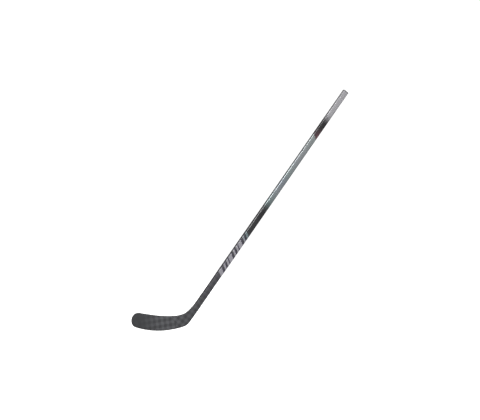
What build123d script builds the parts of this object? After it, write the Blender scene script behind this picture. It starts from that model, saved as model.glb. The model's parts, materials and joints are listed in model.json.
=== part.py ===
from build123d import *
import os
from math import asin, cos, pi, radians, sin, sqrt, tan

# An ice hockey stick of carbon composite, right-handed: a hollow shaft with a plug in its butt,
# and a blade of two moulded skins over foam, whose hosel is bonded to the shaft round a tenon.
# X runs from the toe (-) to the shaft (+), Z is up from the ice, and the forehand faces -Y.
# The origin is where the sole touches the ice. Sizes are in millimetres and degrees.

# Shaft
STICK_LENGTH = 1448.0        # along the shaft's axis, from the sole to the top of the butt plug
SHAFT_WIDTH = 30.0
SHAFT_THICKNESS = 20.0
SHAFT_CORNER = 5.0
SHAFT_WALL = 1.6
SHAFT_LEAN = 53.3            # of the axis above the ice
SHAFT_FOOT = 100.0           # where the axis would meet the ice
CORNER_BLEND = 130.0         # length over which the shaft's corners soften above the hosel

# Butt plug
FLANGE_HEIGHT = 4.5
FLANGE_ROUND = 1.8
STUB_LENGTH = 32.0
STUB_WALL = 2.2
STUB_BORE_CORNER = 0.8
STUB_CLEARANCE = 0.5         # between the stub and the shaft's bore
CRUSH_RIB_WIDTH = 2.4
CRUSH_RIB_PITCH = 9.0
CRUSH_RIB_CLEARANCE = 0.1    # between the ribs on the stub and the shaft's bore

# Blade outline, seen from the side
SOLE_ROCKER = 425.0          # radius of the sole
TOE_REACH = 152.0            # from the contact point to the tip of the toe
TOE_SOLE_RADIUS = 32.0       # of the toe's lower corner
TOE_FLAT = 2.5               # straight stretch of the tip, between its two corners
HEEL_RADIUS = 58.0
BLADE_WAIST = 69.6           # height of the lowest point of the top edge
TOP_TOE_RADIUS = 670.0       # top edge from the waist towards the toe
TOP_TOE_TURN = 10.0          # after which the top edge is straight
TOP_HEEL_RADIUS = 190.0      # top edge from the waist to the throat
TOP_HEEL_TURN = 14.0
THROAT_RADIUS = 86.0
THROAT_TURN = 26.0
NECK_RADIUS = 265.0          # from the throat into the hosel

# Blade section, seen from above
CURVE_START = 40.0           # the blade is straight from the heel to here
CURVE_RADIUS = 700.0
FACE_OPENING = 6.0           # how far the face has opened at the toe
TOE_THICKNESS = 6.2          # at the sole
HEEL_THICKNESS = 9.5         # at the sole
TOP_THINNING = 1.0           # how much thinner the blade is at its waist than at the sole
SWELL_START_SOLE = 120.0     # where the blade starts to thicken into the hosel, at the sole
SWELL_END_SOLE = 200.0
SWELL_START_TOP = 70.0       # the same at the hosel's end
SWELL_END_TOP = 170.0
RIM_ROUNDING = 0.9           # radius of the rim's edges, as a share of half the thinnest one

# Blade shell and filling
SKIN = 1.2
RIM = 3.2
BOND_GAP = 0.1               # between the skins, the cores and the ribs
RIB_THICKNESS = 2.0
BRIDGE_HEIGHT = 37.0         # of the lengthwise rib above the sole
HEEL_RIB_X = 88.0
TOE_CORE_X = -88.0

# Joint of blade and shaft, measured up the axis from the ice
HOSEL_TOP = 190.0
TENON_IN_HOSEL = 60.0
TENON_IN_SHAFT = 72.0
TENON_WALL = 2.0
TENON_BORE_CORNER = 1.2
GLUE_LINE = 0.3

# Reach of the shapes that cut the blade out, past its own ends
SLAB_FOOT = -10.0
SLAB_PAST_TOE = 15.0
SLAB_PAST_HOSEL = 20.0
PROFILE_STATIONS = 18

UP_X = cos(radians(SHAFT_LEAN))
UP_Z = sin(radians(SHAFT_LEAN))


# Places along the shaft

def on_shaft(along, across=0.0):
    """The point (x, z) at a distance up the axis, and across it towards the blade's inner side."""
    return SHAFT_FOOT + along * UP_X - across * UP_Z, along * UP_Z + across * UP_X


def sole_along(across):
    """How far up the axis a line beside it crosses the arc of the sole."""
    x, z = on_shaft(0, across)
    towards = x * UP_X + (z - SOLE_ROCKER) * UP_Z
    outside = x ** 2 + (z - SOLE_ROCKER) ** 2 - SOLE_ROCKER ** 2
    return -towards - sqrt(towards ** 2 - outside)


def shaft_plane(along):
    """Plane square to the axis: its x lies across the wide face, its y towards the forehand."""
    x, z = on_shaft(along)
    return Plane(origin=(x, 0, z), x_dir=(-UP_Z, 0, UP_X), z_dir=(UP_X, 0, UP_Z))


def shaft_section(inset, corner):
    """The shaft's section set in all round."""
    return RectangleRounded(SHAFT_WIDTH - 2 * inset, SHAFT_THICKNESS - 2 * inset, corner)


def shaft_bar(inset, corner, bottom, top):
    """A straight bar along the axis with the shaft's section set in all round."""
    return shaft_plane(bottom) * extrude(shaft_section(inset, corner), top - bottom)


def above(along):
    """A block that holds everything above a plane square to the axis."""
    size = 2 * STICK_LENGTH
    return shaft_plane(along) * Pos(0, 0, size / 2) * Box(size, size, size)


BUTT = sole_along(0) + STICK_LENGTH
TUBE_TOP = BUTT - FLANGE_HEIGHT
BORE_CORNER = SHAFT_CORNER - SHAFT_WALL
TENON_FOOT = HOSEL_TOP - TENON_IN_HOSEL
TENON_TOP = HOSEL_TOP + TENON_IN_SHAFT
TENON_INSET = SHAFT_WALL + GLUE_LINE


# Blade outline

def arc_by_turn(start, heading, radius, turn):
    """An arc that leaves start along heading and turns left, and the point where it ends."""
    def point(angle):
        return (start[0] + radius * (sin(radians(angle)) - sin(radians(heading))),
                start[1] + radius * (cos(radians(heading)) - cos(radians(angle))))
    end = point(heading + turn)
    return ThreePointArc(start, point(heading + turn / 2), end), end


def throat_arcs(start):
    """The top edge from the waist to the hosel: three arcs, each tangent to the next."""
    arcs = []
    heading = 0.0
    neck_turn = SHAFT_LEAN - TOP_HEEL_TURN - THROAT_TURN
    for radius, turn in [(TOP_HEEL_RADIUS, TOP_HEEL_TURN), (THROAT_RADIUS, THROAT_TURN), (NECK_RADIUS, neck_turn)]:
        arc, start = arc_by_turn(start, heading, radius, turn)
        heading += turn
        arcs.append(arc)
    return arcs, start


def arc_rise(run, radius):
    """How far an arc has risen at a run from its lowest point."""
    return radius - sqrt(radius ** 2 - run ** 2)


def waist_x():
    """Where the top edge is lowest, so that the throat's arcs end on the hosel's inner side."""
    neck_x, neck_z = throat_arcs((0, BLADE_WAIST))[1]
    neck_along = (neck_z - SHAFT_WIDTH / 2 * UP_X) / UP_Z
    return on_shaft(neck_along, SHAFT_WIDTH / 2)[0] - neck_x


def toe_run(waist):
    """The straight end of the top edge: where it leaves its arc, and where it would meet the tip."""
    turn = radians(TOP_TOE_TURN)
    start = (waist[0] - TOP_TOE_RADIUS * sin(turn), waist[1] + TOP_TOE_RADIUS * (1 - cos(turn)))
    return start, (-TOE_REACH, start[1] + (start[0] + TOE_REACH) * tan(turn))


def toe_top_radius(toe_top, toe_sole):
    """The radius of the toe's upper corner that fills the tip above its flat."""
    sole_angle = pi / 2 + asin(TOE_REACH / SOLE_ROCKER)
    top_angle = pi / 2 - radians(TOP_TOE_TURN)
    lower_corner = TOE_SOLE_RADIUS / tan(sole_angle / 2)
    return (toe_top[1] - toe_sole[1] - lower_corner - TOE_FLAT) * tan(top_angle / 2)


def blade_outline():
    """The blade and hosel from the side, up to the hosel's end."""
    waist = (waist_x(), BLADE_WAIST)
    arcs, neck = throat_arcs(waist)
    run_start, toe_top = toe_run(waist)
    half_way = (waist[0] + run_start[0]) / 2
    top_middle = (half_way, BLADE_WAIST + arc_rise(waist[0] - half_way, TOP_TOE_RADIUS))
    toe_sole = (-TOE_REACH, arc_rise(TOE_REACH, SOLE_ROCKER))
    heel = on_shaft(sole_along(-SHAFT_WIDTH / 2), -SHAFT_WIDTH / 2)
    inner_end = on_shaft(HOSEL_TOP, SHAFT_WIDTH / 2)
    outer_end = on_shaft(HOSEL_TOP, -SHAFT_WIDTH / 2)
    outline = make_face(arcs + [
        Line(neck, inner_end),
        Line(inner_end, outer_end),
        Line(outer_end, heel),
        ThreePointArc(heel, (0, 0), toe_sole),
        Line(toe_sole, toe_top),
        Line(toe_top, run_start),
        ThreePointArc(run_start, top_middle, waist),
    ])
    toe_radius = toe_top_radius(toe_top, toe_sole)
    for corner, radius in [(heel, HEEL_RADIUS), (toe_sole, TOE_SOLE_RADIUS), (toe_top, toe_radius)]:
        outline = fillet(outline.vertices().sort_by_distance(Vector(*corner))[:1], radius)
    return outline


# Blade section. Its faces are ruled between two plans, one under the sole and one over the hosel.

SLAB_TOE_X = -TOE_REACH - SLAB_PAST_TOE
SLAB_END_X = on_shaft(HOSEL_TOP, -SHAFT_WIDTH / 2)[0] + SLAB_PAST_HOSEL
SLAB_TOP = on_shaft(HOSEL_TOP, SHAFT_WIDTH / 2)[1] + SLAB_PAST_HOSEL
SPAN_Y = SHAFT_WIDTH + arc_rise(CURVE_START - SLAB_TOE_X, CURVE_RADIUS)
LEVELS = [(SLAB_FOOT, SWELL_START_SOLE, SWELL_END_SOLE), (SLAB_TOP, SWELL_START_TOP, SWELL_END_TOP)]


def ease(x, start, end):
    """0 before start, 1 after end, and a smooth rise between them."""
    share = min(max((x - start) / (end - start), 0.0), 1.0)
    return share ** 2 * (3 - 2 * share)


def middle_y(x, z):
    """Where the blade's middle surface lies: curved towards the forehand, its face opening."""
    reach = max(CURVE_START - x, 0.0)
    opening = FACE_OPENING * reach / (CURVE_START + TOE_REACH)
    return z * tan(radians(opening)) - arc_rise(reach, CURVE_RADIUS)


def half_thickness(x, z, swell):
    """Half of the blade's thickness, which swells into the shaft's."""
    share = min((x + TOE_REACH) / (SHAFT_FOOT + TOE_REACH), 1.0)
    blade = TOE_THICKNESS + (HEEL_THICKNESS - TOE_THICKNESS) * share - TOP_THINNING * z / BLADE_WAIST
    return (blade + (SHAFT_THICKNESS - blade) * swell) / 2


def side_line(level, side, skin, hosel_wall):
    """One face of the blade at a level, less a wall that is skin in the blade and hosel_wall above."""
    z, swell_start, swell_end = level
    points = []
    for step in range(PROFILE_STATIONS):
        x = SLAB_TOE_X + (SLAB_END_X - SLAB_TOE_X) * step / (PROFILE_STATIONS - 1)
        swell = ease(x, swell_start, swell_end)
        wall = skin + (hosel_wall - skin) * swell
        points.append((x, middle_y(x, z) + side * (half_thickness(x, z, swell) - wall), z))
    return points


def plan(forehand_line, backhand_line):
    """The closed plan of the blade at one level."""
    forehand, backhand = Spline(forehand_line), Spline(backhand_line)
    return Wire([forehand, Line(forehand @ 1, backhand @ 1), backhand, Line(backhand @ 0, forehand @ 0)])


def blade_slab(skin, hosel_wall):
    """The space between the blade's two faces, each set in, over its whole height."""
    plans = [plan(side_line(level, -1, skin, hosel_wall), side_line(level, 1, skin, hosel_wall))
             for level in LEVELS]
    return Solid.make_loft(plans, ruled=True)


def forehand_side():
    """Everything in front of the blade's middle surface, on which the two skins meet."""
    plans = []
    for level in LEVELS:
        z = level[0]
        stations = [x for x, y, z in side_line(level, 1, 0, 0)]
        parting = [(x, middle_y(x, z), z) for x in stations]
        front = [(x, y - SPAN_Y, z) for x, y, z in parting]
        plans.append(plan(front, parting))
    return Solid.make_loft(plans, ruled=True)


def blade_form(rim, skin, hosel_wall):
    """The blade with its outline set in by rim and its faces by skin."""
    outline = blade_outline()
    if rim:
        outline = offset(outline, amount=-rim)
    return extrude(Plane.XZ * outline, SPAN_Y, both=True) & blade_slab(skin, hosel_wall)


# Blade skins

def rim_radius():
    """The radius of the rim's edges, for which the blade is thinnest at the top of the toe."""
    toe_top = toe_run((waist_x(), BLADE_WAIST))[1]
    return RIM_ROUNDING * half_thickness(*toe_top, 0)


def rim_edges(blade):
    """The long edges between the blade's faces and its rim."""
    end = shaft_plane(HOSEL_TOP)
    chosen = ShapeList()
    for edge in blade.edges():
        across_rim = abs((edge % 0.5).Y) > 0.9
        at_end = all(abs(end.to_local_coords(edge @ place).Z) < 0.01 for place in (0, 1))
        if not (across_rim or at_end):
            chosen.append(edge)
    return chosen


def blade_skins():
    """The forehand and backhand skins: the blade's shell, parted along its middle surface."""
    form = blade_form(0, 0, 0)
    body = fillet(rim_edges(form), rim_radius())
    hollow = blade_form(RIM, SKIN, SHAFT_WALL) - above(TENON_FOOT)
    shell = body - hollow - shaft_bar(SHAFT_WALL, BORE_CORNER, TENON_FOOT, HOSEL_TOP)
    front = forehand_side()
    return shell & front, shell - front


# Blade filling

def span(left, right):
    """A block that holds everything between two places along the blade."""
    height = SLAB_TOP - SLAB_FOOT
    return Pos((left + right) / 2, 0, SLAB_FOOT + height / 2) * Box(right - left, 2 * SPAN_Y, height)


def rocker_drum(height):
    """A drum about the middle of the sole's arc that reaches down to one height above the sole."""
    return Pos(0, 0, SOLE_ROCKER) * Rot(90, 0, 0) * Cylinder(SOLE_ROCKER - height, 2 * SPAN_Y)


def blade_filling():
    """The ribs and foam cores that fill the blade below the tenon."""
    filling = blade_form(RIM + BOND_GAP, SKIN + BOND_GAP, SHAFT_WALL + BOND_GAP)
    filling = filling - above(TENON_FOOT - BOND_GAP)
    rib_back = HEEL_RIB_X + RIB_THICKNESS
    middle = filling & span(TOE_CORE_X, HEEL_RIB_X - BOND_GAP)
    under, over = BRIDGE_HEIGHT - RIB_THICKNESS / 2, BRIDGE_HEIGHT + RIB_THICKNESS / 2
    return {
        "hosel_core": filling & span(rib_back + BOND_GAP, SLAB_END_X),
        "heel_rib": filling & span(HEEL_RIB_X, rib_back),
        "blade_bridge": (middle & rocker_drum(under)) - rocker_drum(over),
        "lower_core": middle - rocker_drum(under - BOND_GAP),
        "upper_core": middle & rocker_drum(over + BOND_GAP),
        "toe_core": filling & span(SLAB_TOE_X, TOE_CORE_X - BOND_GAP),
    }


# Shaft, and its joint with the hosel

def shaft_tube():
    """The hollow shaft, whose corners soften over the first stretch above the hosel."""
    blend_top = HOSEL_TOP + CORNER_BLEND
    blend = loft([shaft_plane(HOSEL_TOP) * shaft_section(0, rim_radius()),
                  shaft_plane(blend_top) * shaft_section(0, SHAFT_CORNER)], ruled=True)
    outside = blend + shaft_bar(0, SHAFT_CORNER, blend_top, TUBE_TOP)
    return outside - shaft_bar(SHAFT_WALL, BORE_CORNER, HOSEL_TOP, TUBE_TOP)


def tenon():
    """The carbon tube that reaches from the hosel up into the shaft."""
    bar = shaft_bar(TENON_INSET, SHAFT_CORNER - TENON_INSET, TENON_FOOT, TENON_TOP)
    return bar - shaft_bar(TENON_INSET + TENON_WALL, TENON_BORE_CORNER, TENON_FOOT, TENON_TOP)


def tenon_adhesive():
    """The film of epoxy between the tenon and the bores of the hosel and the shaft."""
    film = shaft_bar(SHAFT_WALL, BORE_CORNER, TENON_FOOT, TENON_TOP)
    return film - shaft_bar(TENON_INSET, SHAFT_CORNER - TENON_INSET, TENON_FOOT, TENON_TOP)


def butt_plug():
    """The plastic plug: a flange that caps the tube, and a hollow stub with crush ribs."""
    flange = shaft_bar(0, SHAFT_CORNER, TUBE_TOP, BUTT)
    top = flange.faces().sort_by(Axis((0, 0, 0), (UP_X, 0, UP_Z)))[-1]
    flange = fillet(top.edges(), FLANGE_ROUND)
    stub_inset = SHAFT_WALL + STUB_CLEARANCE
    foot = TUBE_TOP - STUB_LENGTH
    stub = shaft_bar(stub_inset, SHAFT_CORNER - stub_inset, foot, TUBE_TOP)
    rib_depth = SHAFT_THICKNESS - 2 * (SHAFT_WALL + CRUSH_RIB_CLEARANCE)
    rib = Box(CRUSH_RIB_WIDTH, rib_depth, STUB_LENGTH)
    for side in (-1, 1):
        stub += shaft_plane(foot) * Pos(side * CRUSH_RIB_PITCH / 2, 0, STUB_LENGTH / 2) * rib
    return flange + stub - shaft_bar(stub_inset + STUB_WALL, STUB_BORE_CORNER, foot, TUBE_TOP)


# Assembly

forehand_skin, backhand_skin = blade_skins()
parts = {
    "shaft_tube": shaft_tube(),
    "butt_plug": butt_plug(),
    "tenon": tenon(),
    "tenon_adhesive": tenon_adhesive(),
    "blade_forehand_skin": forehand_skin,
    "blade_backhand_skin": backhand_skin,
    **blade_filling(),
}

os.makedirs("parts", exist_ok=True)
for name, part in parts.items():
    export_step(part, f"parts/{name}.step")
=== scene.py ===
"""An ice hockey stick of carbon composite, right-handed, dressed for the studio.

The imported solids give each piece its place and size. X runs from the toe to the shaft, Z is up from
the ice, and the forehand faces -Y. Lengths are in metres, and in millimetres where a name ends in _MM.
"""
import json
from math import cos, pi, radians, sin

import bpy
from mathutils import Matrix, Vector


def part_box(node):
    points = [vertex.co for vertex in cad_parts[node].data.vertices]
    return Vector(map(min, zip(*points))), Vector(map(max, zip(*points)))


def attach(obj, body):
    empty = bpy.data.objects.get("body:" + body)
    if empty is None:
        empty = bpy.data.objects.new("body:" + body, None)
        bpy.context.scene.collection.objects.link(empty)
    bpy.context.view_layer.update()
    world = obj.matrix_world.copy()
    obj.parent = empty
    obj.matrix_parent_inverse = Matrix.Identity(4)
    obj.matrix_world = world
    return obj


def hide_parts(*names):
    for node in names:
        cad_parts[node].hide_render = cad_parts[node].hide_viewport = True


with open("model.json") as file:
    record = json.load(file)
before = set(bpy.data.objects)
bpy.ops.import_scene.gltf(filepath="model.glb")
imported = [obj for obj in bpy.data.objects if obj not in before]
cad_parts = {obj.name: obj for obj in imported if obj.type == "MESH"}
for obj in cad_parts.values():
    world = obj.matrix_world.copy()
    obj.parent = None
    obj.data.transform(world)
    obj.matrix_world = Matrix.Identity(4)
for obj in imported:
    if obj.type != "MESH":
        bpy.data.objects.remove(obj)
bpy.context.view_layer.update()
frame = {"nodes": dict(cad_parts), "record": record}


# Shaft
# A hollow tube of carbon cloth, wrapped on a mandrel, cured, sprayed in pearl and black, and lacquered.
# Its section is one rounded rectangle all the way up, with tighter corners just above the hosel.
# The tenon fixes its foot to the hosel, and the butt plug closes its top.

def linear(colour):
    """An sRGB hex colour as linear RGBA."""
    parts = [int(colour[i:i + 2], 16) / 255 for i in (1, 3, 5)]
    return [p / 12.92 if p <= 0.04045 else ((p + 0.055) / 1.055) ** 2.4 for p in parts] + [1.0]


def add(tree, kind, *values, stops=None, sockets=None, **fields):
    """Adds a node and gives its first output. Values, numbers or outputs, fill its sockets in order."""
    node = tree.nodes.new(kind)
    for field, value in fields.items():
        setattr(node, field, value)
    if stops:
        ramp = node.color_ramp.elements
        while len(ramp) < len(stops):
            ramp.new(1.0)
        for stop, (position, colour) in zip(ramp, stops):
            stop.position = position
            stop.color = colour
    for name, value in [*enumerate(values), *(sockets or {}).items()]:
        if isinstance(value, bpy.types.NodeSocket):
            tree.links.new(value, node.inputs[name])
        else:
            node.inputs[name].default_value = value
    return node.outputs[0] if node.outputs else node


def new_finish(name):
    """A material with an empty tree, and the tree."""
    material = bpy.data.materials.new(name)
    material.use_nodes = True
    material.node_tree.nodes.clear()
    return material, material.node_tree


mounts = {mount["name"]: mount for mount in frame["record"]["mounts"]}
AXIS = Vector(mounts["butt_face"]["axis"])
SHAFT_TOP = Vector(mounts["butt_face"]["pos_m"])
SHAFT_FOOT = SHAFT_TOP - AXIS * (SHAFT_TOP.z / AXIS.z)
LEAN = Vector((1, 0, 0)).angle(AXIS)

# The upright box of a leaning tube gives the tube's own width and length.
tube_low, tube_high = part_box("shaft_tube")
tube_size = tube_high - tube_low
SHAFT_WIDTH = (tube_size.x * AXIS.z - tube_size.z * AXIS.x) / (AXIS.z ** 2 - AXIS.x ** 2)
SHAFT_THICKNESS = tube_size.y
TUBE_LENGTH = (tube_size.x - SHAFT_WIDTH * AXIS.z) / AXIS.x
HOSEL_TOP = (tube_low.z + SHAFT_WIDTH / 2 * AXIS.x) / AXIS.z
SHAFT_WALL = 0.0016
SHAFT_CORNER = 0.005
HOSEL_CORNER = 0.00215
CORNER_BLEND = 0.130
CORNER_STEPS = 10
BLEND_ROWS = 8
OUTER_ROWS = 40
BORE_ROWS = 2
SEAM_GAP = 1e-6
SHARP_EDGE = radians(35)


def shaft_sweep():
    """A tree that sweeps the shaft's section into a tube with a wall, from the hosel's end up."""
    tree = bpy.data.node_groups.new("shaft_sweep", "GeometryNodeTree")
    for name in ("Length", "Width", "Thickness", "Corner", "Hosel Corner", "Corner Blend", "Wall", "Lean"):
        tree.interface.new_socket(name, in_out="INPUT", socket_type="NodeSocketFloat")
    tree.interface.new_socket("Foot", in_out="INPUT", socket_type="NodeSocketVector")
    tree.interface.new_socket("Lacquer", in_out="INPUT", socket_type="NodeSocketMaterial")
    tree.interface.new_socket("Geometry", in_out="OUTPUT", socket_type="NodeSocketGeometry")
    size = add(tree, "NodeGroupInput").node.outputs
    columns = 4 * (CORNER_STEPS + 1) + 1
    rows = OUTER_ROWS + BORE_ROWS + 1
    index = add(tree, "GeometryNodeInputIndex")
    row = add(tree, "ShaderNodeMath", index, columns, operation="DIVIDE")
    row = add(tree, "ShaderNodeMath", row, operation="FLOOR")
    column = add(tree, "ShaderNodeMath", index, columns, operation="FLOORED_MODULO")

    # The rows climb the outside, turn in over the top and come down the bore. The last lies on the first.
    bore_middle = OUTER_ROWS + (BORE_ROWS - 1) / 2
    rising = add(tree, "ShaderNodeMath", row, bore_middle, operation="LESS_THAN")
    blended = add(tree, "ShaderNodeMath", row, BLEND_ROWS, operation="DIVIDE", use_clamp=True)
    blended = add(tree, "ShaderNodeMath", blended, rising, operation="MULTIPLY")
    past_blend = add(tree, "ShaderNodeMath", row, BLEND_ROWS, operation="SUBTRACT")
    straight_rows = OUTER_ROWS - 1 - BLEND_ROWS
    straight = add(tree, "ShaderNodeMath", past_blend, straight_rows, operation="DIVIDE", use_clamp=True)
    straight = add(tree, "ShaderNodeMath", straight, rising, operation="MULTIPLY")
    straight_length = add(tree, "ShaderNodeMath", size["Length"], size["Corner Blend"], operation="SUBTRACT")
    along = add(tree, "ShaderNodeMath", straight, straight_length, operation="MULTIPLY")
    along = add(tree, "ShaderNodeMath", blended, size["Corner Blend"], along, operation="MULTIPLY_ADD")
    in_bore = add(tree, "ShaderNodeMath", row, bore_middle, BORE_ROWS / 2, operation="COMPARE")
    inset = add(tree, "ShaderNodeMath", in_bore, size["Wall"], operation="MULTIPLY")
    softening = add(tree, "ShaderNodeMath", size["Corner"], size["Hosel Corner"], operation="SUBTRACT")
    outer_corner = add(tree, "ShaderNodeMath", blended, softening, size["Hosel Corner"],
                       operation="MULTIPLY_ADD")
    bore_corner = add(tree, "ShaderNodeMath", size["Corner"], size["Wall"], operation="SUBTRACT")
    corner = add(tree, "ShaderNodeMix", sockets={"Factor": in_bore, "A": outer_corner, "B": bore_corner})

    # The columns go round the four corners. Between two corners lies one flat face.
    lap = add(tree, "ShaderNodeMath", column, columns - 1, operation="FLOORED_MODULO")
    quarter = add(tree, "ShaderNodeMath", lap, CORNER_STEPS + 1, operation="DIVIDE")
    quarter = add(tree, "ShaderNodeMath", quarter, operation="FLOOR")
    turned = add(tree, "ShaderNodeMath", lap, CORNER_STEPS + 1, operation="FLOORED_MODULO")
    turned = add(tree, "ShaderNodeMath", turned, CORNER_STEPS, operation="DIVIDE")
    turned = add(tree, "ShaderNodeMath", turned, quarter, operation="ADD")
    angle = add(tree, "ShaderNodeMath", turned, pi / 2, operation="MULTIPLY")
    diagonal = add(tree, "ShaderNodeMath", quarter, pi / 2, pi / 4, operation="MULTIPLY_ADD")
    margin = add(tree, "ShaderNodeMath", inset, corner, operation="ADD")
    reach = {}
    for extent, turn in (("Width", "COSINE"), ("Thickness", "SINE")):
        side = add(tree, "ShaderNodeMath", diagonal, operation=turn)
        side = add(tree, "ShaderNodeMath", side, operation="SIGN")
        centre = add(tree, "ShaderNodeMath", size[extent], 0.5, operation="MULTIPLY")
        centre = add(tree, "ShaderNodeMath", centre, margin, operation="SUBTRACT")
        centre = add(tree, "ShaderNodeMath", centre, side, operation="MULTIPLY")
        round_corner = add(tree, "ShaderNodeMath", angle, operation=turn)
        reach[extent] = add(tree, "ShaderNodeMath", round_corner, corner, centre, operation="MULTIPLY_ADD")

    place = add(tree, "ShaderNodeCombineXYZ", along, reach["Thickness"], reach["Width"])
    grid = add(tree, "GeometryNodeMeshGrid", sockets={"Vertices X": rows, "Vertices Y": columns})
    tube = add(tree, "GeometryNodeSetPosition", sockets={"Geometry": grid, "Position": place})
    tube = add(tree, "GeometryNodeMergeByDistance", sockets={"Geometry": tube, "Distance": SEAM_GAP})
    tilt = add(tree, "ShaderNodeMath", size["Lean"], -1.0, operation="MULTIPLY")
    tilt = add(tree, "ShaderNodeCombineXYZ", 0.0, tilt)
    tube = add(tree, "GeometryNodeTransform", sockets={
        "Geometry": tube, "Translation": size["Foot"], "Rotation": tilt})
    tube = add(tree, "GeometryNodeSetShadeSmooth", tube)
    tube = add(tree, "GeometryNodeRealizeInstances", tube)
    tube = add(tree, "GeometryNodeSetMaterial", sockets={"Geometry": tube, "Material": size["Lacquer"]})
    add(tree, "NodeGroupOutput", tube)
    return tree


def grow(name, tree, sizes):
    """A piece with the mesh that a tree makes from these sizes."""
    seed = bpy.data.objects.new(name + "_seed", bpy.data.meshes.new(name + "_seed"))
    bpy.context.scene.collection.objects.link(seed)
    modifier = seed.modifiers.new("tree", "NODES")
    modifier.node_group = tree
    for item in tree.interface.items_tree:
        if item.in_out == "INPUT":
            modifier[item.identifier] = sizes[item.name]
    mesh = bpy.data.meshes.new_from_object(seed.evaluated_get(bpy.context.evaluated_depsgraph_get()))
    bpy.data.objects.remove(seed)
    mesh.materials.pop(index=0)
    piece = bpy.data.objects.new(name, mesh)
    bpy.context.scene.collection.objects.link(piece)
    return piece


# A tow is 13 mm wide, as real ones are. Its fibres are 7 microns thick, too fine to show, so coarser streaks
# stand for bundles of them, at so many to the millimetre along the tow and across it.
TOW_MM = 13.3
TOW_EDGE = 0.3
STREAKS_ALONG = 0.03
STREAKS_ACROSS = 1.1
PLAID_SHARE = 0.48
CHECK_SHARE = 0.08
STREAK_SHARE = 0.8
SHADE_DROP = 0.42


def in_millimetres(tree, place, start, turn):
    """A place measured in millimetres from a start, with X turned up from level."""
    return add(tree, "ShaderNodeMapping", place, start, (0, -turn, 0), (0.001, 0.001, 0.001),
               vector_type="TEXTURE")


def woven_cloth(tree, place):
    """Spread-tow carbon cloth in the X and Z of a place in millimetres: its shade and its fibres' height."""
    axes = add(tree, "ShaderNodeSeparateXYZ", place).node.outputs
    around = add(tree, "ShaderNodeMath", axes["Z"], axes["Y"], operation="ADD")
    flat = add(tree, "ShaderNodeCombineXYZ", axes["X"], around)
    squares = add(tree, "ShaderNodeTexChecker", sockets={"Vector": flat, "Scale": 1 / TOW_MM})
    squares = squares.node.outputs["Fac"]
    bands = []
    for way in (axes["X"], around):
        wave = add(tree, "ShaderNodeMath", way, pi / TOW_MM, operation="MULTIPLY")
        wave = add(tree, "ShaderNodeMath", wave, operation="COSINE")
        bands.append(add(tree, "ShaderNodeMapRange", wave, -TOW_EDGE, TOW_EDGE, 0.0, 1.0))
    plaid = add(tree, "ShaderNodeMath", *bands, operation="ADD")
    fibres = []
    for stretch in ((STREAKS_ALONG, STREAKS_ACROSS, 1.0), (STREAKS_ACROSS, STREAKS_ALONG, 1.0)):
        run = add(tree, "ShaderNodeVectorMath", flat, stretch, operation="MULTIPLY")
        fibres.append(add(tree, "ShaderNodeTexNoise", sockets={"Vector": run, "Scale": 1.0, "Detail": 3.0}))
    fibre = add(tree, "ShaderNodeMixRGB", squares, *fibres)
    shade = add(tree, "ShaderNodeMath", plaid, PLAID_SHARE, operation="MULTIPLY")
    shade = add(tree, "ShaderNodeMath", squares, CHECK_SHARE, shade, operation="MULTIPLY_ADD")
    shade = add(tree, "ShaderNodeMath", fibre, STREAK_SHARE, shade, operation="MULTIPLY_ADD")
    shade = add(tree, "ShaderNodeMath", shade, SHADE_DROP, operation="SUBTRACT", use_clamp=True)
    return shade, fibre


# The coats, from the foot up. Each start, each fade and the first of each pair is a distance up the axis from
# the ice, but BAR_STARTS is in shares of one group of bars.
SHAFT_CLOTH = ("#3F3F44", "#56555C")
SLANT = 0.6
BARS_MM = (334, 583)
BAR_GROUPS = 3
BAR_EDGE_MM = 8.0
BAR_PEARL = "#A8A6AE"
BAR_SHADOW = "#474255"
BAR_GAP = "#454449"
BAR_STARTS = ((0.0, BAR_PEARL), (0.28, BAR_SHADOW), (0.37, BAR_GAP), (0.47, BAR_PEARL), (0.60, BAR_SHADOW),
              (0.68, BAR_GAP), (0.76, BAR_PEARL), (0.91, BAR_SHADOW))
GREEN_FADE_MM = (525, 570)
BAR_GREEN = "#B4D0CC"
BLACK_START_MM = 577
THIN_BLACK_FADE_MM = (640, 690)
THIN_BLACK = "#3B3B3D"
DEEP_BLACK = "#323234"
SILVER_FADE_MM = (683, 817)
SILVERS_MM = ((760, "#859696"), (840, "#9DA4A9"), (890, "#949CA5"), (940, "#9CA8A8"), (1023, "#A2A7AC"),
              (1060, "#A4A9AC"), (1170, "#A6AEAE"))
BAND_START_MM = 1176
BAND_DARK = "#302F31"
BAND_ROSE = "#684A50"
ROSE_FADE_MM = (1190, 1235)
ROSE_ACROSS_MM = (6.0, -10.0)
ROSE_LEAST = 0.45
HANDLE_FADE_MM = (1235, 1345)
HANDLE_GREY = "#B1B0B4"
ROUGHNESSES_MM = ((300, 0.45), (583, 0.35), (590, 0.22), (715, 0.22), (800, 0.28), (1176, 0.28), (1200, 0.22),
                  (1258, 0.22), (1308, 0.42))
RAMP_MM = 1500
PEARL_METAL = 0.5
THIN_LACQUER = 0.25
FULL_LACQUER = 0.85
PEARL_LACQUER = 0.25

# Real halftone dots are about 1 mm apart, and the flake in a pearl paint is far finer than that.
# Both are drawn coarser here, so that they show.
DOT_MM = 5.0
DOT_DEPTH = 0.5
DOT_EDGE = 0.2
FADE_OVERSHOOT = 0.6
FLAKES_PER_MM = 0.5


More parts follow.
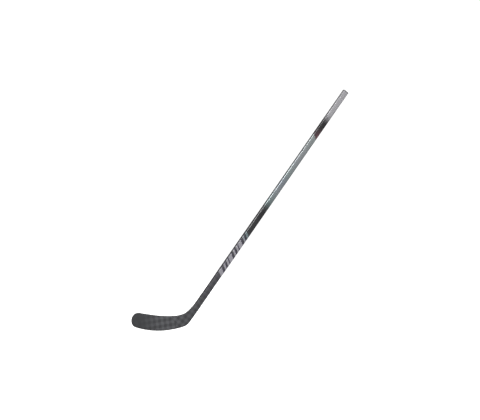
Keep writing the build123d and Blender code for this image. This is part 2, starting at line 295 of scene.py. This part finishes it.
def painted_laminate():
    """Carbon laminate, sprayed and lacquered: pearl that lights up at the corners, and deep, glossy black."""
    material, tree = new_finish("sprayed_pearl_and_black_under_lacquer")
    place = add(tree, "ShaderNodeTexCoord").node.outputs["Object"]
    on_axis = in_millimetres(tree, place, SHAFT_FOOT, LEAN)
    axes = add(tree, "ShaderNodeSeparateXYZ", on_axis).node.outputs
    slanted = add(tree, "ShaderNodeMath", axes["Z"], -SLANT, axes["X"], operation="MULTIPLY_ADD")

    # Bare cloth shows through the lacquer from the foot to the bars.
    shade, _ = woven_cloth(tree, on_axis)
    cloth = add(tree, "ShaderNodeMixRGB", shade, *(linear(colour) for colour in SHAFT_CLOTH))

    # Three groups of slanted bars on both wide sides, each a wide bar and two narrow ones. Each bar has an
    # indigo shadow, and the uppermost bars turn green.
    bars_start, bars_end = BARS_MM
    in_group = add(tree, "ShaderNodeMapRange", slanted, bars_start, bars_end, 0.0, BAR_GROUPS)
    in_group = add(tree, "ShaderNodeMath", in_group, operation="FRACT")
    bars = add(tree, "ShaderNodeValToRGB", in_group, stops=[
        (start, linear(colour)) for start, colour in BAR_STARTS])
    bars.node.color_ramp.interpolation = "CONSTANT"
    greening = add(tree, "ShaderNodeMapRange", axes["X"], *GREEN_FADE_MM, 0.0, 1.0)
    bars = add(tree, "ShaderNodeMixRGB", greening, bars, linear(BAR_GREEN), blend_type="MULTIPLY")
    bars_middle = (bars_start + bars_end) / 2
    in_bars = add(tree, "ShaderNodeMath", slanted, bars_middle, bars_end - bars_middle, operation="COMPARE")
    depth = add(tree, "ShaderNodeMath", axes["Y"], operation="ABSOLUTE")
    on_face = add(tree, "ShaderNodeMath", depth, BAR_EDGE_MM, operation="GREATER_THAN")
    in_bars = add(tree, "ShaderNodeMath", in_bars, on_face, operation="MULTIPLY")
    lower = add(tree, "ShaderNodeMixRGB", in_bars, cloth, bars)

    # Two fades are halftones, with dots that run round the shaft.
    around = add(tree, "ShaderNodeMath", axes["Z"], axes["Y"], operation="ADD")
    dots = []
    for way in (axes["X"], around):
        wave = add(tree, "ShaderNodeMath", way, 2 * pi / DOT_MM, operation="MULTIPLY")
        dots.append(add(tree, "ShaderNodeMath", wave, operation="COSINE"))
    dots = add(tree, "ShaderNodeMath", *dots, operation="MULTIPLY")

    def halftone(start, end):
        """0 before start and 1 after end, with dots that grow between them."""
        fade = add(tree, "ShaderNodeMapRange", axes["X"], start, end, -FADE_OVERSHOOT, 1 + FADE_OVERSHOOT)
        fade = add(tree, "ShaderNodeMath", dots, DOT_DEPTH, fade, operation="MULTIPLY_ADD")
        return add(tree, "ShaderNodeMapRange", fade, 0.5 - DOT_EDGE, 0.5 + DOT_EDGE, 0.0, 1.0)

    # Black over the end of the bars, then the pearl silver, whose tone drifts up the shaft.
    up_shaft = add(tree, "ShaderNodeMath", axes["X"], RAMP_MM, operation="DIVIDE")
    silver = add(tree, "ShaderNodeValToRGB", up_shaft, stops=[
        (distance / RAMP_MM, linear(colour)) for distance, colour in SILVERS_MM])
    thinned = add(tree, "ShaderNodeMapRange", axes["X"], *THIN_BLACK_FADE_MM, 1.0, 0.0)
    black = add(tree, "ShaderNodeMixRGB", thinned, linear(DEEP_BLACK), linear(THIN_BLACK))
    silvered = halftone(*SILVER_FADE_MM)
    middle = add(tree, "ShaderNodeMixRGB", silvered, black, silver)

    # The dark band starts with a slanted rose tint and fades into the grey of the handle.
    rose = add(tree, "ShaderNodeMapRange", axes["X"], *ROSE_FADE_MM, 1.0, 0.0)
    across = add(tree, "ShaderNodeMapRange", axes["Z"], *ROSE_ACROSS_MM, ROSE_LEAST, 1.0)
    rose = add(tree, "ShaderNodeMath", rose, across, operation="MULTIPLY")
    band = add(tree, "ShaderNodeMixRGB", rose, linear(BAND_DARK), linear(BAND_ROSE))
    gripped = halftone(*HANDLE_FADE_MM)
    upper = add(tree, "ShaderNodeMixRGB", gripped, band, linear(HANDLE_GREY))
    past_silver = add(tree, "ShaderNodeMath", slanted, BAND_START_MM, operation="GREATER_THAN")
    upper = add(tree, "ShaderNodeMixRGB", past_silver, middle, upper)
    past_bars = add(tree, "ShaderNodeMath", slanted, BLACK_START_MM, operation="GREATER_THAN")
    colour = add(tree, "ShaderNodeMixRGB", past_bars, lower, upper)

    # Flake makes both pearls partly metallic. The lacquer is thin over the bare foot and full above it.
    metal = add(tree, "ShaderNodeMixRGB", past_silver, silvered, gripped)
    metal = add(tree, "ShaderNodeMath", metal, PEARL_METAL, operation="MULTIPLY")
    lacquer = add(tree, "ShaderNodeMapRange", past_bars, 0.0, 1.0, THIN_LACQUER, FULL_LACQUER)
    lacquer = add(tree, "ShaderNodeMath", metal, PEARL_LACQUER, lacquer, operation="MULTIPLY_ADD")
    flake = add(tree, "ShaderNodeTexNoise", sockets={
        "Vector": on_axis, "Scale": FLAKES_PER_MM, "Detail": 2.0})
    rough = add(tree, "ShaderNodeValToRGB", up_shaft, stops=[
        (distance / RAMP_MM, (rough, rough, rough, 1)) for distance, rough in ROUGHNESSES_MM])
    rough = add(tree, "ShaderNodeMath", flake, 0.06, rough, operation="MULTIPLY_ADD")
    peel = add(tree, "ShaderNodeBump", sockets={"Strength": 0.01, "Distance": 0.0003, "Height": flake})
    shader = add(tree, "ShaderNodeBsdfPrincipled", sockets={
        "Base Color": colour, "Metallic": metal, "Roughness": rough, "Normal": peel,
        "Coat Weight": lacquer, "Coat Roughness": 0.1})
    add(tree, "ShaderNodeOutputMaterial", shader)
    return material


shaft = grow("painted_shaft", shaft_sweep(), {
    "Length": TUBE_LENGTH, "Width": SHAFT_WIDTH, "Thickness": SHAFT_THICKNESS, "Wall": SHAFT_WALL,
    "Corner": SHAFT_CORNER, "Hosel Corner": HOSEL_CORNER, "Corner Blend": CORNER_BLEND, "Lean": LEAN,
    "Foot": SHAFT_FOOT + AXIS * HOSEL_TOP, "Lacquer": painted_laminate()})
shaft.data.set_sharp_from_angle(angle=SHARP_EDGE)
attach(shaft, "root")
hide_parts("shaft_tube")


# Butt plug
# A hollow plug of black ABS, injection moulded in one piece with the crush ribs on its stub.
# It is pressed into the top of the shaft, and only its flange shows.

# Real spark grain is about 0.1 mm. It is 0.7 mm here, so that it shows.
GRAINS_PER_METRE = 1500.0
PLUG_ROUGHNESS = (0.45, 0.6)
MOST_NOISE = (0.3, 0.7)


def dress(names, material):
    """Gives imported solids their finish."""
    for name in names:
        solid = frame["nodes"][name].data
        solid.materials.clear()
        solid.materials.append(material)


def plug_plastic():
    """Black ABS from a spark-eroded mould: a fine, even grain that keeps it dull."""
    material, tree = new_finish("spark_grained_black_abs")
    place = add(tree, "ShaderNodeTexCoord").node.outputs["Object"]
    grain = add(tree, "ShaderNodeTexNoise", sockets={
        "Vector": place, "Scale": GRAINS_PER_METRE, "Detail": 2.0})
    colour = add(tree, "ShaderNodeMixRGB", grain, linear("#1F1F21"), linear("#2A2A2C"))
    dulling = add(tree, "ShaderNodeMapRange", grain, *MOST_NOISE, *PLUG_ROUGHNESS)
    bump = add(tree, "ShaderNodeBump", sockets={"Strength": 0.2, "Distance": 0.0002, "Height": grain})
    shader = add(tree, "ShaderNodeBsdfPrincipled", sockets={
        "Base Color": colour, "Roughness": dulling, "Normal": bump})
    add(tree, "ShaderNodeOutputMaterial", shader)
    return material


dress(["butt_plug"], plug_plastic())


# Tenon and adhesive
# A hollow tenon of wound carbon laminate joins the hosel to the shaft.
# It is bonded in both with a thin film of epoxy, cured in an oven.

# A tow of 3 mm, wound at 45 degrees to the axis, shows as two bands of fibre side by side.
WINDING_ANGLE = radians(45)
WINDING_LENGTH = 0.030
WINDING_WIDTH = 0.0015
WINDING_HEIGHTS = (0.4, 0.7)
WINDING_ROUGHNESS = (0.45, 0.3)

# The film's filler is a powder and its bubbles are under 0.3 mm. Both are coarser here, so that they show.
CLOUDS_PER_METRE = 120.0
BUBBLES_PER_METRE = 900.0
BUBBLE_WALL = (0.12, 0.22)
EPOXY_ROUGHNESS = (0.15, 0.3)


def wound_laminate():
    """Carbon wound off a mandrel and left unpainted: crossed bands of fibre, slightly resin-glossy."""
    material, tree = new_finish("wound_carbon_as_cured")
    place = add(tree, "ShaderNodeTexCoord").node.outputs["Object"]
    windings = []
    for turn in (-WINDING_ANGLE, WINDING_ANGLE):
        band = add(tree, "ShaderNodeMapping", place, (0, 0, 0), (0, turn - LEAN, 0),
                   (WINDING_LENGTH, WINDING_WIDTH, WINDING_WIDTH), vector_type="TEXTURE")
        windings.append(add(tree, "ShaderNodeTexNoise", sockets={
            "Vector": band, "Scale": 1.0, "Detail": 2.0}))
    crossed = add(tree, "ShaderNodeMath", *windings, operation="MAXIMUM")
    colour = add(tree, "ShaderNodeMixRGB", crossed, linear("#141416"), linear("#4A4A4F"))
    dulling = add(tree, "ShaderNodeMapRange", crossed, *WINDING_HEIGHTS, *WINDING_ROUGHNESS)
    bump = add(tree, "ShaderNodeBump", sockets={"Strength": 0.2, "Distance": 0.0003, "Height": crossed})
    shader = add(tree, "ShaderNodeBsdfPrincipled", sockets={
        "Base Color": colour, "Roughness": dulling, "Normal": bump})
    add(tree, "ShaderNodeOutputMaterial", shader)
    return material


def film_epoxy():
    """Cured epoxy film: amber, glossy, clouded by its filler and fine air bubbles."""
    material, tree = new_finish("filled_amber_epoxy")
    place = add(tree, "ShaderNodeTexCoord").node.outputs["Object"]
    filler = add(tree, "ShaderNodeTexNoise", sockets={
        "Vector": place, "Scale": CLOUDS_PER_METRE, "Detail": 3.0})
    bubbles = add(tree, "ShaderNodeTexVoronoi", sockets={"Vector": place, "Scale": BUBBLES_PER_METRE})
    bubbles = add(tree, "ShaderNodeMapRange", bubbles, *BUBBLE_WALL, 0.0, 1.0)
    colour = add(tree, "ShaderNodeMixRGB", filler, linear("#8A6636"), linear("#B0894E"))
    dulling = add(tree, "ShaderNodeMapRange", filler, *MOST_NOISE, *EPOXY_ROUGHNESS)
    bump = add(tree, "ShaderNodeBump", sockets={"Strength": 0.3, "Distance": 0.0001, "Height": bubbles})
    shader = add(tree, "ShaderNodeBsdfPrincipled", sockets={
        "Base Color": colour, "Roughness": dulling, "Normal": bump})
    add(tree, "ShaderNodeOutputMaterial", shader)
    return material


inner_laminate = wound_laminate()
dress(["tenon"], inner_laminate)
dress(["tenon_adhesive"], film_epoxy())


# Blade
# Two moulded skins of spread-tow carbon cloth, bonded along the rim and sprayed with a matte lacquer.
# The cloth lies square to the blade, turns with the shaft at the heel, and ends in a plain toe, with a rim
# and sole band darkened by painted shade.

# A fade is along X. A share is how much of the plaid is left past it.
CLOTH_DARK = "#3A3B3E"
CLOTH_LIGHT = "#636468"
CLOTH_START = (0.0084, 0.0, 0.0355)
CLOTH_TURN = radians(7)
HEEL_SEAM = 0.080
SEAM_BLUR = 0.001
TOE_FADE = (-0.005, -0.105)
TOE_SHARE = 0.08
THROAT_FADE = (0.085, 0.125)
THROAT_SHARE = 0.75
# The rim's dark colour, its cover and its bands are painted shade on the rim's fillet and along the sole.
RIM_PAINTED_SHADE = "#2B2B2D"
RIM_COVER = 0.7
RIM_TURN = (0.9, 0.6)
RIM_FADE = (0.150, 0.120)
SOLE_RADIUS = 0.425
SOLE_BAND = 0.0065
CLOTH_ROUGHNESS = (0.38, 0.52)


def bare_laminate():
    """Spread-tow carbon cloth under matte lacquer: a soft plaid, with painted shade darkening the rim and a
    band along the sole.
    """
    material, tree = new_finish("spread_tow_carbon_under_matte_lacquer")
    place = add(tree, "ShaderNodeTexCoord").node.outputs["Object"]
    along = add(tree, "ShaderNodeSeparateXYZ", place)

    # One ply lies square to the blade and one to the shaft. They meet at a seam across the heel.
    on_blade = in_millimetres(tree, place, CLOTH_START, CLOTH_TURN)
    on_blade = add(tree, "ShaderNodeVectorMath", on_blade, (1, 0, 1), operation="MULTIPLY")
    blade_shade, blade_fibre = woven_cloth(tree, on_blade)
    on_axis = in_millimetres(tree, place, SHAFT_FOOT, LEAN)
    hosel_shade, hosel_fibre = woven_cloth(tree, on_axis)
    through_heel = (cos(LEAN / 2), 0, sin(LEAN / 2))
    past_heel = add(tree, "ShaderNodeVectorMath", place, through_heel, operation="DOT_PRODUCT")
    past_heel = add(tree, "ShaderNodeMapRange", past_heel.node.outputs["Value"],
                    HEEL_SEAM - SEAM_BLUR, HEEL_SEAM + SEAM_BLUR, 0.0, 1.0)
    shade = add(tree, "ShaderNodeMixRGB", past_heel, blade_shade, hosel_shade)
    fibre = add(tree, "ShaderNodeMixRGB", past_heel, blade_fibre, hosel_fibre)

    # The plaid all but goes at the toe, and dims a little in the throat.
    toe = add(tree, "ShaderNodeMapRange", along, *TOE_FADE, 1.0, TOE_SHARE)
    shade = add(tree, "ShaderNodeMath", shade, toe, operation="MULTIPLY")
    throat = add(tree, "ShaderNodeMapRange", along, *THROAT_FADE, 1.0, THROAT_SHARE)
    shade = add(tree, "ShaderNodeMath", shade, throat, operation="MULTIPLY")
    colour = add(tree, "ShaderNodeMixRGB", shade, linear(CLOTH_DARK), linear(CLOTH_LIGHT))

    # Painted shade darkens the rim below the hosel, where it turns away from the faces, and a band along the
    # sole.
    facing = add(tree, "ShaderNodeNewGeometry").node.outputs["Normal"]
    facing = add(tree, "ShaderNodeSeparateXYZ", facing).node.outputs["Y"]
    facing = add(tree, "ShaderNodeMath", facing, operation="ABSOLUTE")
    rim = add(tree, "ShaderNodeMapRange", facing, *RIM_TURN, 0.0, RIM_COVER)
    below_hosel = add(tree, "ShaderNodeMapRange", along, *RIM_FADE, 0.0, 1.0)
    rim = add(tree, "ShaderNodeMath", rim, below_hosel, operation="MULTIPLY")
    from_centre = add(tree, "ShaderNodeVectorMath", place, (0, 0, SOLE_RADIUS), operation="SUBTRACT")
    from_centre = add(tree, "ShaderNodeVectorMath", from_centre, (1, 0, 1), operation="MULTIPLY")
    from_centre = add(tree, "ShaderNodeVectorMath", from_centre, operation="LENGTH")
    sole = add(tree, "ShaderNodeMapRange", from_centre.node.outputs["Value"],
               SOLE_RADIUS - SOLE_BAND, SOLE_RADIUS - SOLE_BAND / 2, 0.0, RIM_COVER)
    rim = add(tree, "ShaderNodeMath", rim, sole, operation="MAXIMUM")
    colour = add(tree, "ShaderNodeMixRGB", rim, colour, linear(RIM_PAINTED_SHADE))

    dulling = add(tree, "ShaderNodeMapRange", fibre, *MOST_NOISE, *CLOTH_ROUGHNESS)
    bump = add(tree, "ShaderNodeBump", sockets={"Strength": 0.08, "Distance": 0.0005, "Height": fibre})
    shader = add(tree, "ShaderNodeBsdfPrincipled", sockets={
        "Base Color": colour, "Roughness": dulling, "Normal": bump,
        "Coat Weight": 0.15, "Coat Roughness": 0.3})
    add(tree, "ShaderNodeOutputMaterial", shader)
    return material


dress(["blade_forehand_skin", "blade_backhand_skin"], bare_laminate())


# Blade filling
# Cores of rigid foam fill the blade. Two laminate ribs part them, one across the heel and one lengthwise.
# All are cut to shape, laid up with the skins and bonded as the blade cures in its mould.

# The foam's real cells are about 0.3 mm. They are 0.9 mm here, so that they show.
FOAM_CELL = 0.0009
FOAM_ROUGHNESS = (1.0, 0.85)


def core_foam():
    """Rigid closed-cell foam, cut with a wire: off-white and dull, with its cut cells open."""
    material, tree = new_finish("wire_cut_closed_cell_foam")
    place = add(tree, "ShaderNodeTexCoord").node.outputs["Object"]
    cells = add(tree, "ShaderNodeTexVoronoi", sockets={"Vector": place, "Scale": 1 / FOAM_CELL})
    colour = add(tree, "ShaderNodeMixRGB", cells, linear("#B9B29D"), linear("#E6E1D2"))
    dulling = add(tree, "ShaderNodeMapRange", cells, 0.0, 1.0, *FOAM_ROUGHNESS)
    bump = add(tree, "ShaderNodeBump", sockets={"Strength": 0.5, "Distance": 0.0003, "Height": cells})
    shader = add(tree, "ShaderNodeBsdfPrincipled", sockets={
        "Base Color": colour, "Roughness": dulling, "Normal": bump})
    add(tree, "ShaderNodeOutputMaterial", shader)
    return material


dress(["toe_core", "upper_core", "lower_core", "hosel_core"], core_foam())
dress(["heel_rib", "blade_bridge"], inner_laminate)


# Studio
# A sweep of opal acrylic, lit from below and white to its edges, with even light from all round.
# Three large soft boxes light the stick from in front, from its side and from behind.

FLOOR_REACH = 60
FLOOR_DROP = 0.0005
HORIZON = (-0.05, 0.25)
GLOW = (0.08, 0.20)
CAMERA_TARGET = Vector((0.4078, 0.0, 0.5790))
CAMERA_DISTANCE = 7.3
CAMERA_AZIMUTH = radians(-20.7)
LENS_MM = 111.85
SENSOR_MM = 36
LAMP_DISTANCE = 5.0

floor = bpy.data.objects.new("floor", bpy.data.meshes.new("floor"))
corners = [(x * FLOOR_REACH, y * FLOOR_REACH, -FLOOR_DROP) for x, y in ((-1, -1), (1, -1), (1, 1), (-1, 1))]
floor.data.from_pydata(corners, [], [(0, 1, 2, 3)])
bpy.context.scene.collection.objects.link(floor)
floor.visible_glossy = False
floor.visible_diffuse = False
acrylic, tree = new_finish("opal_acrylic_lit_from_below")
shader = add(tree, "ShaderNodeBsdfPrincipled", sockets={
    "Base Color": linear("#F4F4F4"), "Roughness": 0.8, "Specular IOR Level": 0.0,
    "Emission Color": (1, 1, 1, 1), "Emission Strength": 0.9})
add(tree, "ShaderNodeOutputMaterial", shader)
floor.data.materials.append(acrylic)

# The sky is white where the camera sees it, and only glows on the stick.
world = bpy.data.worlds.new("studio")
world.use_nodes = True
world.node_tree.nodes.clear()
seen = add(world.node_tree, "ShaderNodeLightPath").node.outputs["Is Camera Ray"]
height = add(world.node_tree, "ShaderNodeTexCoord").node.outputs["Generated"]
height = add(world.node_tree, "ShaderNodeSeparateXYZ", height).node.outputs["Z"]
glow = add(world.node_tree, "ShaderNodeMapRange", height, *HORIZON, *GLOW)
strength = add(world.node_tree, "ShaderNodeMath", seen, glow, operation="ADD")
sky = add(world.node_tree, "ShaderNodeBackground", (1, 1, 1, 1), strength)
add(world.node_tree, "ShaderNodeOutputWorld", sky)
bpy.context.scene.world = world


def aim(thing, azimuth, elevation, distance):
    """Stands a lamp or camera off the stick, looking at it."""
    away = Vector((sin(azimuth) * cos(elevation), -cos(azimuth) * cos(elevation), sin(elevation)))
    thing.location = CAMERA_TARGET + away * distance
    thing.rotation_mode = "QUATERNION"
    thing.rotation_quaternion = away.to_track_quat("Z", "Y")
    bpy.context.scene.collection.objects.link(thing)


for name, azimuth, elevation, width, power in (
        ("key_light", -2, 17, 2.2, 160), ("side_light", 80, 20, 2.0, 110), ("back_light", 150, 40, 2.0, 200)):
    lamp = bpy.data.objects.new(name, bpy.data.lights.new(name, "AREA"))
    lamp.data.size = width
    lamp.data.energy = power
    lamp.visible_camera = False
    aim(lamp, radians(azimuth), radians(elevation), LAMP_DISTANCE)

camera = bpy.data.objects.new("camera", bpy.data.cameras.new("camera"))
camera.data.lens = LENS_MM
camera.data.sensor_width = SENSOR_MM
aim(camera, CAMERA_AZIMUTH, 0, CAMERA_DISTANCE)
bpy.context.scene.camera = camera
bpy.context.scene.view_settings.view_transform = "Standard"
